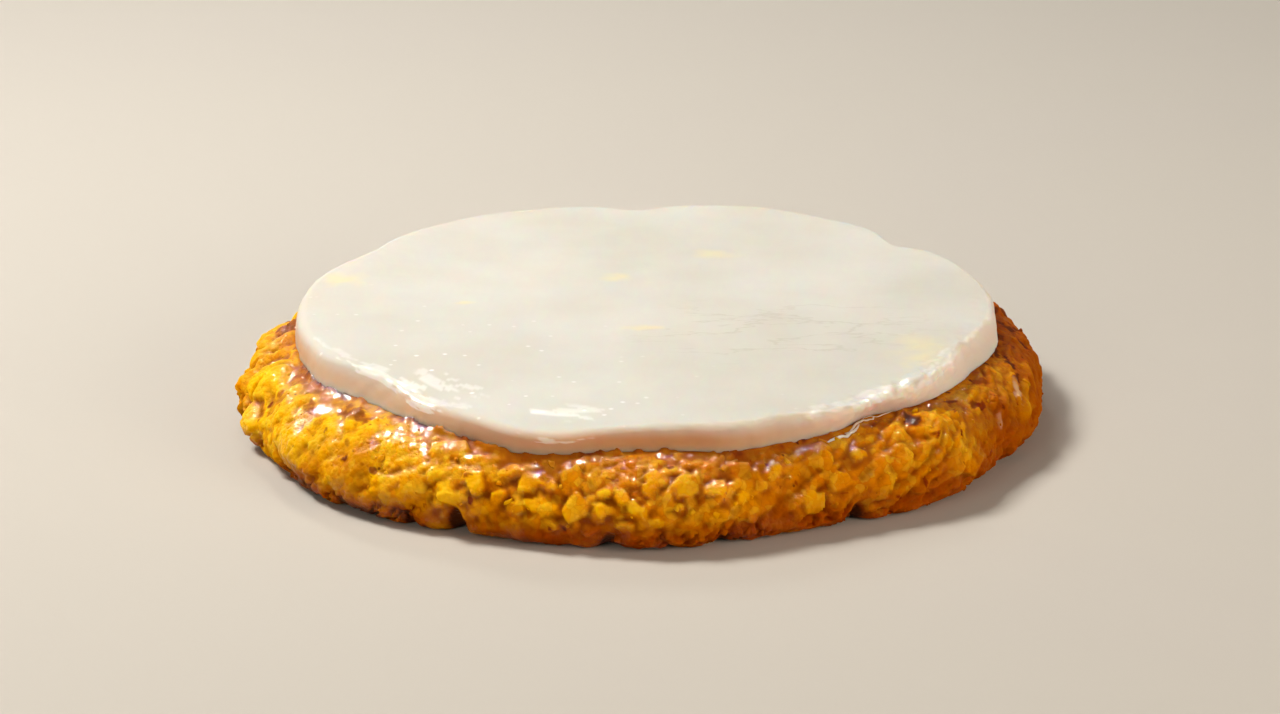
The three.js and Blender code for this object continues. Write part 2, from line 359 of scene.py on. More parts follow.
# %% Sizes and kernels of the relief
CLUMPS = [(6.2, 1.15, 3), (3.3, 0.75, 17)]  # width, height, salt
WARP_SIZE = 4.0
PLATE_SIZE = 5.0
ROUND_SIZE = 4.2
FOLD_SIZE = 3.8
KERNEL_SIZE = 3.0
CHIP_SIZE = 1.6
FLAKE_SIZE = 1.5
TOOTH_SIZE = 0.8
CRACK_SIZE = 3.2
KERNEL_EDGE = 0.5
CRACK_DEPTH = 0.3

# Each row is the angle, the mm down the slope, the half sizes round and down in mm, the lean and the rise.
CHUNKS = [
    (-115.8, 4.5, 1.5, 1.5, 10, 0.6), (-104.6, 8.2, 2.0, 1.5, -20, 0.8), (-103.7, 11.3, 1.4, 1.0, 0, 0.7),
    (-98.1, 11.3, 1.9, 2.0, 15, 1.0), (-94.6, 11.6, 1.2, 1.3, 0, 0.9), (-90.6, 11.2, 1.0, 1.1, 10, 0.8),
    (-94.8, 9.2, 1.2, 0.8, 0, 0.8), (-92.3, 9.5, 1.2, 1.1, -15, 0.7), (-107.8, 6.8, 1.7, 1.2, -25, 0.6),
    (-112.0, 9.1, 1.4, 1.5, 20, 0.7), (-115.0, 12.0, 1.8, 1.0, 0, 0.9), (-98.9, 7.1, 1.5, 1.5, 10, 0.6),
    (-111.7, 16.4, 1.5, 1.0, -15, 0.5), (-101.8, 8.6, 0.8, 0.8, 0, 0.6), (-88.6, 8.7, 1.2, 1.1, 0, 0.7),
    (-83.8, 8.4, 1.6, 1.8, -8, 1.2), (-80.3, 8.9, 1.6, 1.3, 0, 1.1), (-66.6, 13.0, 2.1, 1.8, -5, 1.2),
    (-85.2, 11.1, 0.9, 0.5, 10, 0.6), (-87.8, 6.9, 1.3, 1.3, 0, 0.7), (-75.3, 13.7, 0.8, 1.0, 10, 0.6),
    (-64.0, 7.4, 1.4, 1.7, -20, 0.7), (-58.2, 6.8, 1.4, 1.2, -25, 0.8), (-73.9, 9.3, 1.1, 1.0, 0, 0.5),
    (-76.9, 6.6, 1.8, 1.2, -10, 0.5), (-82.9, 4.1, 1.5, 0.8, 0, 0.4), (-77.7, 3.4, 0.9, 0.7, 0, 0.4),
    (-87.9, 13.3, 1.3, 1.0, 0, 0.7), (-83.9, 13.9, 1.3, 1.0, 10, 0.7), (-101.8, 14.5, 1.4, 1.0, 0, 0.5),
    (-106.2, 12.1, 1.5, 1.2, -10, 0.5), (-108.8, 11.0, 1.1, 1.0, 0, 0.5), (-71.1, 7.4, 1.2, 1.2, 0, 0.5),
    (-67.9, 5.4, 1.1, 0.8, 0, 0.4), (-62.2, 10.6, 1.5, 1.5, -15, 0.6), (-79.8, 12.8, 1.4, 1.0, 0, 0.6),
    (-76.6, 10.6, 1.1, 1.0, 0, 0.5), (-96.3, 14.7, 1.2, 1.0, 0, 0.5), (-91.9, 14.0, 1.3, 1.0, 0, 0.6),
    (-51.6, 8.8, 1.2, 1.0, -20, 0.4), (-45.9, 7.7, 1.2, 0.9, -25, 0.4), (64.0, 9.0, 1.7, 1.4, 20, 0.8),
    (72.0, 11.0, 1.9, 1.6, -10, 0.9), (81.0, 7.5, 1.5, 1.3, 0, 0.7), (95.0, 10.0, 1.4, 1.5, 30, 0.8),
    (58.0, 12.5, 1.5, 1.2, 0, 0.7), (108.0, 8.0, 1.3, 1.2, -20, 0.6), (132.0, 10.5, 1.5, 1.3, 10, 0.6),
]
print("kernels placed one by one:", len(CHUNKS))

# %% Helpers for patterns on the skin
def soften(values, steps):
    """Repeated averaging of every grid point with its neighbours: half of itself and a quarter of each side,
    first round the axis, then down the rows."""
    for _ in range(steps):
        values = 0.5 * values + 0.25 * (np.roll(values, 1, axis=1) + np.roll(values, -1, axis=1))
        above = np.concatenate([values[:1], values[:-1]])
        below = np.concatenate([values[1:], values[-1:]])
        values = 0.5 * values + 0.25 * (above + below)
    return values


def wound(stretch, lean):
    """The skin on a straight cylinder: the distance down the slope, shrunk by `stretch`, is the height, and
    each mm down turns it by `lean` degrees. A pattern on it comes out long down the slope and leaning."""
    at = np.radians(angle + lean * down)
    return np.stack([CAKE_RADIUS * np.cos(at), CAKE_RADIUS * np.sin(at), stretch * down + 0 * at], axis=-1)


def slope_at(at, out_at):
    """The mm down the slope at which the smooth crust reaches a radius: its superellipse, undone."""
    out = 1 - (cake_radius(at) - out_at) / shoulder_width(at)
    return SHOULDER_RUN * np.arcsin(out ** (fullness(at) / 2)) / quarter


def region(*rows):
    """A share from 0 to 1 round the cake, from rows of an angle, a strength and a half width."""
    return smooth(lobes(angle, rows))


print("share of the rim in a region of 20 degrees:", region((0, 1, 20)).mean().round(2))

# %% Helpers for kernels on the skin
def seen_from(at, down_at, half_round, half_down, lean=0.0):
    """The skin as seen from a spot at an angle and some mm down the slope: the mm from it round the cake and
    down the slope, turned by `lean` degrees, over the two half sizes."""
    along = np.radians(turn_from(at, angle)) * r
    below = down - down_at
    turned = math.radians(lean)
    u = (along * math.cos(turned) + below * math.sin(turned)) / half_round
    v = (below * math.cos(turned) - along * math.sin(turned)) / half_down
    return u, v


def slab(at, down_at, half_round, half_down, lean, rise, seed):
    """A broken kernel that shows its cut face: a polygon of six chance-turned sides on the skin, at an angle
    and a distance down the slope. Gives its share of the skin (1 inside, 0 outside, an edge of 0.5 mm
    between), the height of its face in mm, which slants so that one side stands out and the other is buried,
    and its tone."""
    draw = np.random.default_rng(seed)
    u, v = seen_from(at, down_at, half_round, half_down, lean)
    facing = np.radians(60 * np.arange(6) + draw.uniform(-22, 22, 6))
    limit = draw.uniform(0.75, 1.1, 6)
    reach = np.max([(u * math.cos(way) + v * math.sin(way)) / far for way, far in zip(facing, limit)], axis=0)
    share = smooth((1 - reach + 0.22 * edge_noise) * min(half_round, half_down) / KERNEL_EDGE + 0.5)
    tip = draw.uniform(0, 2 * math.pi)
    face = 0.65 * rise - 0.15 + 0.45 * (math.cos(tip) * u.clip(-1, 1) + math.sin(tip) * v.clip(-1, 1))
    return share, face, draw.uniform(0.4, 0.95)


edge_noise = cloud(skin, CHIP_SIZE, 431, 2)
print("skin points in a kernel of 4 by 4 mm:", (slab(-90, 10, 2, 2, 0, 1, 0)[0] > 0.5).sum())

# %% Three layers of relief
pressed = region((-138, 1.2, 26)) + 0 * r
smeared = region((-46, 1.1, 20), (-12, 1.0, 28)) + 0 * r
mounds = region((-178, 1.2, 24)) + 0 * r
blocky = region((-93, 1.1, 24), (-118, 0.5, 12), (75, 0.6, 45)) + 0 * r
# Each finer layer is cut through the places that the coarser ones have moved the skin to.
warp = np.stack([cloud(skin, WARP_SIZE, salt, 2) for salt in (301, 311, 321)], axis=-1)
clumps = sum(lumps(angle, down, *row) for row in CLUMPS) - RELIEF_SINK
coarse = soften(clumps, 2) * smooth(beyond_foot / 3.0) * mix(0.25, 1, smooth(z / 3.5))

plates, plate_tone = heap(skin + 1.6 * warp, PLATE_SIZE, 131, slant=1.3, steep=1.3, melt=0.05)
kernels, kernel_tone = heap(skin + 1.0 * warp, KERNEL_SIZE, 11, slant=0.9, steep=1.7, melt=0.08)
rounds, _ = heap(skin + 1.2 * warp, ROUND_SIZE, 151, slant=0.5, steep=1.7, melt=0.07)
blocks = soften(standing(kernels, 0.6), 3)
folds = np.abs(cloud(wound(0.8, 1.5) + 1.3 * warp, FOLD_SIZE, 71, 2))
calm = soften(plates, 8)
first_layer = 1.2 * (folds - 0.4) + 0.7 * (plates - 0.6)
first_layer = mix(first_layer, 1.0 * (calm - 0.6) + 0.12 * (folds - 0.4), pressed)
first_layer = mix(first_layer, 1.3 * (soften(plates, 3) - 0.6) + 0.75 * (folds - 0.4), smeared)
first_layer = mix(first_layer, 1.6 * blocks - 0.25 + 0.45 * (folds - 0.4) + 0.5 * (calm - 0.6), blocky)
first_layer = mix(first_layer, 2.4 * (rounds - 0.5), mounds) + 0.8 * region((-172, 1, 10))
moved = skin + normal * (coarse + first_layer)[..., None]
chips, chip_tone = heap(moved + 0.5 * warp, CHIP_SIZE, 31, steep=1.8, melt=0.08)
bits = soften(standing(chips, 0.5), 1)
flakes = np.abs(cloud(moved + 0.4 * warp, FLAKE_SIZE, 171, 2))
facets = 0.45 * (chips - 0.65)
second_layer = mix(0.35 * (flakes - 0.3), facets, np.maximum(pressed, smeared))
second_layer = mix(second_layer, 0.35 * bits + 0.45 * flakes - 0.18, mix(0.1, 0.85, blocky))
second_layer = second_layer * mix(1, 0.6, mounds)
third_layer = mix(0.06, 0.09, blocky) * cloud(moved, TOOTH_SIZE, 181, 2)
mash = (first_layer + second_layer + third_layer) * smooth((beyond_foot + 0.4) / 1.8)
mash = mash * mix(0.3, 1, smooth(z / 3.0))
relief = coarse + mash - 0.1
print("three layers in mm:", relief.min().round(2), relief.mean().round(2), relief.max().round(2))

# %% Kernels with cut faces, and cracks
slabs = np.zeros_like(relief)
slab_tone = np.zeros_like(relief)
for number, chunk in enumerate(CHUNKS):
    share, face, bright = slab(*chunk, number)
    face = coarse + face + 0.3 * mash
    shown = share * smooth((face - relief) / 0.4 + 0.5)
    relief = mix(relief, face, shown)
    slabs = np.maximum(slabs, shown)
    slab_tone = mix(slab_tone, bright, shown)
cracks = smooth(1 - np.abs(cloud(wound(0.3, 0.6) + 0.5 * warp, CRACK_SIZE, 451, 3)) / 0.09)
cracks = cracks * smooth(0.3 + cloud(skin, 6, 461, 2)) * smooth((beyond_foot - 0.5) / 1.0)
cracks = cracks * region((-8, 1.0, 40), (28, 0.8, 20), (165, 0.7, 25), (-150, 0.25, 30)) * (1 - slabs)
relief = relief - CRACK_DEPTH * cracks
print("share of the skin under cut faces and cracks:", slabs.mean().round(3), cracks.mean().round(3))

# %% Tone of the grains
on_block = smooth(blocks / 0.12) * blocky
on_bit = smooth(bits / 0.12) * mix(0.4, 1, blocky)
tone = mix(mix(0.3, plate_tone, 0.4), mix(0.5, 1.0, kernel_tone), on_block)
tone = mix(tone, mix(0.3, 1.0, chip_tone), 0.5 * on_bit)
tone = mix(mix(tone, 0.5, 0.5 * smeared), slab_tone, slabs)
# Painted light and shade: the tone is raised on the left, where the key light falls, lowered at the front,
# and raised relief is made yellower than the low ground around it.
painted_light_tone = 0.3 * region((-145, 1, 34)) - 0.3 * region((-80, 1, 40))
tone = np.clip(tone + painted_light_tone + 0.5 * (relief - soften(relief, 30)), 0, 1)
print("tone of the grains:", tone.min().round(2), tone.mean().round(2), tone.max().round(2))

# %% Lower edge and painted shade in the hollows
# Deep splits at given angles, folded skirts with a groove above them, and a fringe of cracks.
split = np.max([depth * bell(angle, at, wide) * smooth(1 - z / high)
                for at, wide, depth, high in SPLITS], axis=0)
lip = z - 0.9 * cloud(wound(0, 0), 5, 391, 3) + 0.3 * edge_noise
skirt = np.max([
    depth * bell(angle, at, wide) * smooth((high + 0.3 - lip) / 0.5)
    * smooth((lip - high + 3 * SKIRT_GROOVE) / (2 * SKIRT_GROOVE))
    for at, wide, depth, high in SKIRTS
], axis=0)
teeth = np.abs(cloud(wound(0.8, 0.6) + warp, CRACK_SIZE, 471, 3))
fringe = smooth((FRINGE_TOP - z) / 3) * smooth((0.34 - teeth) / 0.3)
fringe = FRINGE_DEPTH * fringe * smooth(0.5 + cloud(skin, 9, 481, 2))
cut = np.max([split, skirt, fringe], axis=0)
# Painted shade: the hollow mask darkens the crust where its relief lies below its own average, most at the
# front, on the right and low down, as shade falls in hollows.
hollow_shade = mix(1.2, 0.9, smooth(z / 8)) * np.clip((soften(relief, 24) - relief) / 0.45, 0, 1)
hollow_shade = soften(hollow_shade, 1) * mix(1, 1.3, blocky) * mix(1, 1.8, region((16, 1, 28)))
hollow_shade = hollow_shade + 0.15 * np.clip((soften(relief, 3) - relief) / 0.15, 0, 1)
proud = np.clip((relief - soften(relief, 40)) / 0.6, 0, 1)
print("relief in mm:", relief.min().round(2), relief.mean().round(2), relief.max().round(2))

# %% [markdown]
# Butter and whey run out from under the cheese and fill the hollows of the crust. A see-through sheet over
# the crust would render slowly and darken what is under it, so the crust itself is filled: where the fluid
# stands higher than the grain, the skin takes the fluid's smooth level, and a mask makes it wet there. At the
# foot of the slice the fluid climbs, as any fluid does at a wall: that small fillet catches the light in a
# broken bright line.

# %% Butter in the hollows
POOL_REACH = 8
FILM_REACH = 3.8
WET_REACH = 11
RIPPLES = [(0.25, 4, 71), (0.1, 1.2, 75)]  # height, width, salt
CLIMB = 0.75

flow = 0.3 + 0.7 * lobes(angle, [(-124, 1.0, 20), (-88, 0.7, 25), (172, 0.4, 20), (60, 0.2, 40),
                                 (-8, -0.4, 30)])
ripples = sum(high * cloud(skin, wide, salt, 2) for high, wide, salt in RIPPLES)
pool = mix(0.35, -1.1, np.clip(beyond_foot / POOL_REACH, 0, 1.4)) * flow + ripples - 0.4
climb = CLIMB * smooth(0.9 - beyond_foot) * smooth(0.5 + 1.2 * cloud(skin, 1.8, 79, 2))
pool = pool + climb * region((-130, 1.2, 40), (-88, 1.0, 24), (-50, 0.6, 14))
pool = np.where(beyond_foot < -1, -2, pool)
film = smooth((FILM_REACH - beyond_foot) / 3 + 0.6 * cloud(skin, 3, 77, 3))
film = film * region((-122, 1.1, 26), (-84, 1.1, 26), (-150, 0.4, 18), (172, 0.5, 16), (-55, 0.4, 14))
wet = np.maximum(smooth((pool - relief) / 0.3 + 0.6) * np.clip(2 * flow, 0, 1), 0.85 * film)
wet = wet * smooth((WET_REACH - beyond_foot) / 3) * smooth((z - 7) / 3)
fill = np.maximum(mix(0.7, 0.93, region((-130, 1, 34))), smooth(1.6 - beyond_foot))
relief = np.where(beyond_foot < WET_REACH + 1, np.maximum(relief, mix(relief, pool, fill)), relief)
print("share of the skin that is wet:", wet.mean().round(3))

# %% Points of the crust
# Last, a small sideways push away from each rise, so the sides of the grains come out steeper.
step_round = 2 * math.pi * CAKE_RADIUS / AROUND
step_down = SHOULDER_RUN / SHOULDER_ROWS
smoothed = soften(relief, 1)
rise_round = (np.roll(smoothed, -1, axis=1) - np.roll(smoothed, 1, axis=1)) / (2 * step_round)
rise_down = np.gradient(smoothed, axis=0) / step_down
overhang = OVERHANG * smooth(beyond_foot / 2) * smooth(z / 1.5)
lean_down = overhang * np.clip(rise_down, -1.2, 1.2)
r_out = r + relief * normal_r - cut - lean_down * normal_z
z_out = np.maximum(0, z + relief * normal_z + lean_down * normal_r)
z_out = np.where(beyond_foot < 0, np.minimum(z_out, z + 0.2), z_out)
aside = -overhang * np.clip(rise_round, -1.2, 1.2)
crust_points = np.stack([r_out * cosine - aside * sine, r_out * sine + aside * cosine, z_out], axis=-1)
print("reach of the crust in mm:", r_out.max().round(1), "top:", z_out.max().round(1))

# %% [markdown]
# The griddle leaves its own traces: a toasted ring where the flat top touched the iron, a burnt heel, seared
# spots, red-brown bits of husk, and two streaks where milk dried. Chance alone would spread them evenly, so
# the ring comes from noise, and the spots that catch the eye are placed one by one, as small ovals on the
# skin. `deep` marks where the batter fried longer and went from yellow to orange brown, and it is painted
# shade
# as well: it makes the right side and the lower parts of the crust darker and redder.

# %% Marks placed one by one
def mark(*spot):
    """1 in a small oval on the skin and 0 outside, with a border torn by noise. `spot` is an angle, the mm
    down the slope, the half sizes in mm and the lean."""
    return smooth(1.6 - np.hypot(*seen_from(*spot)) - 0.6 * cloud(skin, 0.9, 341, 2))


SEARS = [(-47.3, 58.8, 1.1, 1.5, 0, 1.0), (-51.0, 57.8, 4.0, 1.3, 0, 0.7), (-36.2, 57.6, 1.6, 0.35, 25, 0.9),
         (-32.4, 60.0, 1.3, 0.7, 0, 0.85), (-40.2, 62.9, 0.35, 0.4, 0, 1.0), (-27.3, 62.1, 0.3, 0.5, 0, 0.9),
         (-46.3, 62.1, 1.0, 0.35, 35, 0.8), (-3.5, 56.8, 1.8, 1.2, 0, 0.9), (-6.0, 58.6, 1.6, 1.0, 10, 0.9),
         (-13.8, 59.5, 1.6, 1.1, 0, 1.0), (-17.0, 61.2, 1.2, 0.9, 0, 0.95), (4.0, 59.5, 1.4, 2.2, 0, 0.95),
         (8.0, 61.0, 1.2, 2.0, 20, 0.9), (12.0, 58.5, 1.4, 2.4, 0, 0.95), (18.0, 59.5, 1.4, 2.4, -15, 0.95),
         (0.0, 61.5, 1.2, 2.2, 10, 0.95), (22.0, 58.5, 1.4, 1.8, 0, 0.95), (14.0, 61.5, 1.0, 2.0, 15, 0.9),
         (-8.5, 61.0, 1.8, 0.7, 0, 0.9), (6.0, 57.2, 1.4, 1.2, 0, 0.95), (-26.0, 57.8, 1.6, 0.8, 0, 0.8),
         (-132.6, 64.5, 0.6, 0.7, 0, 0.9), (-133.5, 62.8, 0.9, 0.5, 20, 0.6),
         (-145.5, 59.8, 2.4, 1.3, 0, 0.75), (-142.0, 61.2, 1.2, 0.8, 0, 0.6),
         (-136.5, 58.4, 3.6, 1.6, 0, 0.8), (-157.0, 60.0, 0.8, 0.8, 0, 0.7),
         (177.0, 56.0, 3.5, 2.2, 0, 0.85),
         (167.0, 57.5, 3.0, 2.0, 0, 0.8)]  # angle, radius, half round, half down, lean, strength
MILK = [(-20.0, 62.2, 0.9, 1.7, 50, 1.0), (-29.0, 62.7, 0.6, 1.3, 40, 0.5)]

HUSKS = [(-45.8, 7.3, 0.9, 0.3, -30), (-31.2, 6.5, 1.2, 0.6, -10), (-49.2, 13.1, 0.25, 0.9, 20),
         (-52.9, 15.1, 0.5, 0.3, 0), (-53.7, 14.6, 0.6, 0.25, 20), (-39.9, 7.9, 0.3, 0.25, 0),
         (-33.8, 13.6, 0.25, 0.4, 0), (-38.0, 4.4, 0.9, 0.25, -20), (-127.3, 9.9, 0.7, 0.45, 20),
         (-112.5, 11.8, 0.3, 0.5, 0), (-99.4, 5.8, 0.4, 0.3, 0), (-72.5, 6.0, 0.35, 0.3, 0),
         (-86.0, 4.6, 0.7, 0.4, 0), (40.0, 6.0, 0.9, 0.3, 30), (61.0, 9.0, 0.5, 0.5, 0),
         (92.0, 5.0, 0.8, 0.3, -20), (125.0, 8.0, 0.4, 0.7, 0), (150.0, 6.0, 0.8, 0.3, 20),
         (-158.0, 9.0, 0.4, 0.6, 0)]  # angle, mm down, half sizes, lean
print("sear marks, streaks of milk and husks:", len(SEARS), len(MILK), len(HUSKS))

# %% Toasting
RING_WIDTH = 6.5
HEEL_TOP = 4.6
DEEP_TOP = 7.5
FOOT_LINE = 1.3

patch = smooth(0.5 + 0.9 * cloud(skin, 8, 91, 2))
sides = lobes(angle, [(-150, 1, 20), (150, 1, 24), (15, 1.1, 32), (-88, -0.5, 30), (-45, 0.3, 15)])
ring = smooth(1 - beyond_foot / RING_WIDTH) * smooth(0.1 + 0.7 * patch + 0.5 * sides)
griddled = ring * smooth(0.1 + 0.9 * proud + 0.9 * cloud(skin, 2.0, 95, 3)) * mix(1, 0.35, mounds)
heel_burn = smooth((HEEL_TOP - z_out) / 3) * (0.2 + 0.5 * patch + 0.3 * region((-145, 1.2, 34)))
# Painted shade, added to longer frying: the lower parts and the right side turn a darker orange brown.
deep = 0.7 * smooth((DEEP_TOP - z_out) / 5) * region((-90, 1.3, 70), (-5, 0.9, 60), (-150, 0.5, 30))
deep = deep * mix(1, 0.7, region((-50, 1, 18)))
deep = deep + 0.35 * cloud(skin, 7, 361, 3)
deep = deep + 0.75 * region((-8, 1, 46)) + 1.1 * region((18, 1, 28)) + 0.3 * region((-84, 1, 26))
deep = np.clip(deep, 0, 1)
spots = smooth((cloud(skin, 1.2, 97, 2) - 0.9) / 0.15)
foot_line = smooth(1 - np.abs(beyond_foot) / FOOT_LINE) * mix(0.5, 0.9, region((-142, 1, 20)))
thin_film = mix(0.4, 0.8, region((-128, 1, 34), (-88, 0.7, 20))) * mix(1, 0.05, region((15, 1, 44)))
damp = np.maximum(wet, smooth(0.55 + cloud(skin, 3, 381, 2)) * thin_film)
seared, milk = (
    np.max([strength * mark(at, slope_at(at, out_at), *shape)
            for at, out_at, *shape, strength in rows], axis=0)
    for rows in (SEARS, MILK)
)
husk = np.max([mark(*spot) for spot in HUSKS], axis=0)
# The foot line and the cut term are painted shade along the slice's foot and in the splits and grooves, mixed
# into the real toasting; the cracks are darkened too.
toast = 0.8 * griddled + heel_burn + 0.7 * spots + foot_line + 0.7 * cracks
toast = toast + smooth((cut - 0.5) / 1.2) * mix(1, 0.6, region((-52, 1, 30)))
toast = np.clip(np.maximum(toast, seared), 0, 1)
print("share of the skin that is toasted:", toast.mean().round(3))

# %% Piece of the crust
corn_crust = make_piece("corn_crust", crust_points.reshape(-1, 3), *turned_faces(*r.shape))
# The crease mask is painted shade: it darkens the hollows of the relief.
paint(corn_crust, tone=tone, crease=np.clip(hollow_shade, 0, 1), toast=toast, wet=wet, deep=deep, milk=milk,
      damp=damp, husk=husk)
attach(corn_crust, "root")
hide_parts("corn_cake")
print("crust triangles:", 2 * AROUND * (r.shape[0] - 1) + 2 * AROUND)

# %% [markdown]
# ## Broken grains
#
# The skin can't overhang, and a real crust does: bits of kernel stand out of the mash with sharp broken
# sides and shadows under them. Each is a rounded box on a small grid with a few slanting cuts, pushed more
# than half way into the crust. Chance spreads them, by a share given to every point of the skin. One array
# holds all grains of a size, so hundreds of them cost a single mesh, and each has a few dozen faces.

# %% Broken grain shapes
def ball_grid(columns, rings):
    """Points of a unit ball on rings between two poles, and the corner numbers and sizes of its faces."""
    v = np.linspace(-quarter, quarter, rings + 2)[1:-1, None]
    u = np.arange(columns) * 2 * math.pi / columns
    body = np.stack([np.cos(v) * np.cos(u), np.cos(v) * np.sin(u), np.sin(v) + 0 * u], axis=-1).reshape(-1, 3)
    points = np.concatenate([body, [[0, 0, -1], [0, 0, 1]]])
    quads = ring_quads(rings, columns)[:, [0, 3, 2, 1]]
    first = np.arange(columns)
    second = (first + 1) % columns
    south, north = len(body), len(body) + 1
    last = (rings - 1) * columns
    caps = [np.stack(cap, axis=-1).ravel() for cap in (
        [0 * first + south, second, first],
        [0 * first + north, last + first, last + second],
    )]
    sizes = np.concatenate([np.full(len(quads), 4), np.full(2 * columns, 3)])
    return points, np.concatenate([quads.ravel(), *caps]), sizes


GRIT_GRID, CRUMB_GRID = (7, 4), (6, 3)  # columns and rings
print("faces of a grit and of a crumb:", [len(ball_grid(*grid)[2]) for grid in (GRIT_GRID, CRUMB_GRID)])

# %% Pile of grains
GRAIN_CUTS = 5


def scattered(count, seed, share):
    """Numbers of skin points drawn by chance, each as likely as its share."""
    weight = (share * (z_out > 0.4)).ravel()
    return np.random.default_rng(seed).choice(weight.size, count, p=weight / weight.sum())


def grain_pile(name, spot, length, grid, seed, proud):
    """Broken grains set into the crust at the skin points `spot`. A grain is a ball raised to the power 0.5
    towards a box, with slanting planes that press back what stands past them, scaled to its own length, width
    and thickness, and laid along the crust. Its middle stands above the crust by the share `proud` of its
    thickness, less a half."""
    draw = np.random.default_rng(seed)
    count = len(spot)
    base = crust_points.reshape(-1, 3)[spot]
    outward = normal.reshape(-1, 3)[spot]
    up = unit(outward + 0.35 * draw.normal(size=(count, 3)))
    lie = draw.normal(size=(count, 3))
    lie = unit(lie - up * np.sum(lie * up, axis=-1, keepdims=True))
    across = np.cross(up, lie)
    ball, corners, sizes = ball_grid(*grid)
    shape = np.broadcast_to(np.sign(ball) * np.abs(ball) ** 0.5, (count, *ball.shape)).copy()
    for _ in range(GRAIN_CUTS):
        facing = unit(draw.normal(size=(count, 1, 3)))
        reach = draw.uniform(0.55, 0.95, size=(count, 1, 1))
        past = np.maximum(np.sum(shape * facing, axis=-1, keepdims=True) - reach, 0)
        shape -= past * facing
    long = length[:, None] / 2
    broad = long * draw.uniform(0.6, 0.95, size=(count, 1))
    thick = long * draw.uniform(0.4, 0.75, size=(count, 1))
    middle = base + outward * thick * (draw.uniform(*proud, size=(count, 1)) - 0.5)
    points = (middle[:, None] + shape[..., :1] * (lie * long)[:, None]
              + shape[..., 1:2] * (across * broad)[:, None] + shape[..., 2:] * (up * thick)[:, None])
    points[..., 2] = np.maximum(points[..., 2], 0.02)
    numbers = (corners + np.arange(count)[:, None] * len(ball)).reshape(-1)
    piece = make_piece(name, points.reshape(-1, 3), numbers, np.tile(sizes, count))
    each = np.ones(len(ball))
    rise = np.clip(0.5 + 0.5 * shape[..., 2], 0, 1)
    taken = {"toast": 0.9 * toast, "wet": wet, "damp": damp, "deep": deep}
    taken = {mask: values.ravel()[spot][:, None] * each for mask, values in taken.items()}
    # The crease mask darkens the lower half of each grain: painted shade where it sinks into the crust.
    paint(piece, tone=draw.uniform(0.25, 1.0, size=(count, 1)) * each, crease=np.clip(0.5 - 0.9 * rise, 0, 1),
          **taken)
    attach(piece, "root")
    print(name, "triangles:", count * (sizes - 2).sum())
    return piece


# %% Grits and crumbs
GRITS = 90
CRUMBS = 300

spread = np.random.default_rng(4)
clear = smooth((beyond_foot - 0.4) / 1.0)
grit_sizes = spread.uniform(0.9, 1.6, GRITS)
crumb_sizes = spread.uniform(0.3, 0.8, CRUMBS)
grit_spots = scattered(GRITS, 6, clear * (blocky + 0.1))
crumb_spots = scattered(CRUMBS, 7, clear)
grains = [grain_pile("corn_grits", grit_spots, grit_sizes, GRIT_GRID, 6, (0.0, 0.3)),
          grain_pile("corn_crumbs", crumb_spots, crumb_sizes, CRUMB_GRID, 7, (0.2, 0.6))]

# %% [markdown]
# ## The slice of cheese
#
# Fresh cheese is cut from a soft wet block. The slice has a wavy cut outline, a worn round top edge, a
# side that bulges a little at the foot, and a top with soft dents and fine curd lines. It is one grid from
# the middle of the top, round the edge, down the side and back under.

# %% Skin of the slice
SLICE_AROUND = 800
FACE_ROWS = 86
EDGE_ROWS = 14
SIDE_ROWS = 22
SINK = 0.35
DROOP = 1.1
SIDE_BULGE = 0.12
UNDER_IN = [[0.4], [2.0], [6.0]]
UNDER_UP = [[-0.12], [0.0], [0.1]]

slice_angle = np.arange(SLICE_AROUND) * 360 / SLICE_AROUND
rim, foot = slice_rim(slice_angle), slice_foot(slice_angle)
crust_angle, crust_r = about_middle_at(-SLICE_OFF_CENTRE, slice_angle, foot)
foot_z = crust_height(crust_angle, crust_r) + REST_GAP - SINK
rim_z = CAKE_TOP + REST_GAP + slice_thickness(slice_angle)
middle_z = CAKE_TOP + REST_GAP + SLICE_THICKNESS
worn = lobes(slice_angle, [(-127, 1.0, 11), (-103, 0.9, 8)])
edge_out = SLICE_EDGE * (1 + 0.5 * bell(slice_angle, -165, 45)) + 0.8 * worn
edge_down = SLICE_EDGE * (1 + 0.5 * bell(slice_angle, -165, 45)) + 0.2 * worn

out_share = np.linspace(0.012, 1, FACE_ROWS) ** 0.9
shares = out_share[:, None]
droop = DROOP * worn * smooth((shares - 0.87) / 0.16)
top_face = np.stack([shares * (rim - edge_out), mix(middle_z, rim_z, shares**2) - droop], axis=-1)
side_bend = np.arctan2(rim_z - droop[-1] - foot_z, foot - rim + edge_out * 0.3)
bend = np.linspace(0, 1, EDGE_ROWS)[1:, None] * np.minimum(side_bend, quarter)
rounding = np.stack([rim - edge_out * (1 - np.sin(bend)),
                     rim_z - droop[-1] - edge_down * (1 - np.cos(bend))], axis=-1)
fall = np.linspace(0, 1, SIDE_ROWS)[1:]
falls = fall[:, None]
side = np.stack([mix(rounding[-1, :, 0], foot, falls) + SIDE_BULGE * np.sin(math.pi * falls),
                 mix(rounding[-1, :, 1], foot_z, falls)], axis=-1)
under = np.stack(np.broadcast_arrays(foot - np.array(UNDER_IN), foot_z + np.array(UNDER_UP)), axis=-1)
profile = np.concatenate([top_face, rounding, side, under])
slice_cos, slice_sin = np.cos(np.radians(slice_angle)), np.sin(np.radians(slice_angle))
slice_points = np.stack([profile[..., 0] * slice_cos + SLICE_OFF_CENTRE, profile[..., 0] * slice_sin,
                         profile[..., 1]], axis=-1)
print("grid of the slice:", profile.shape[:2])

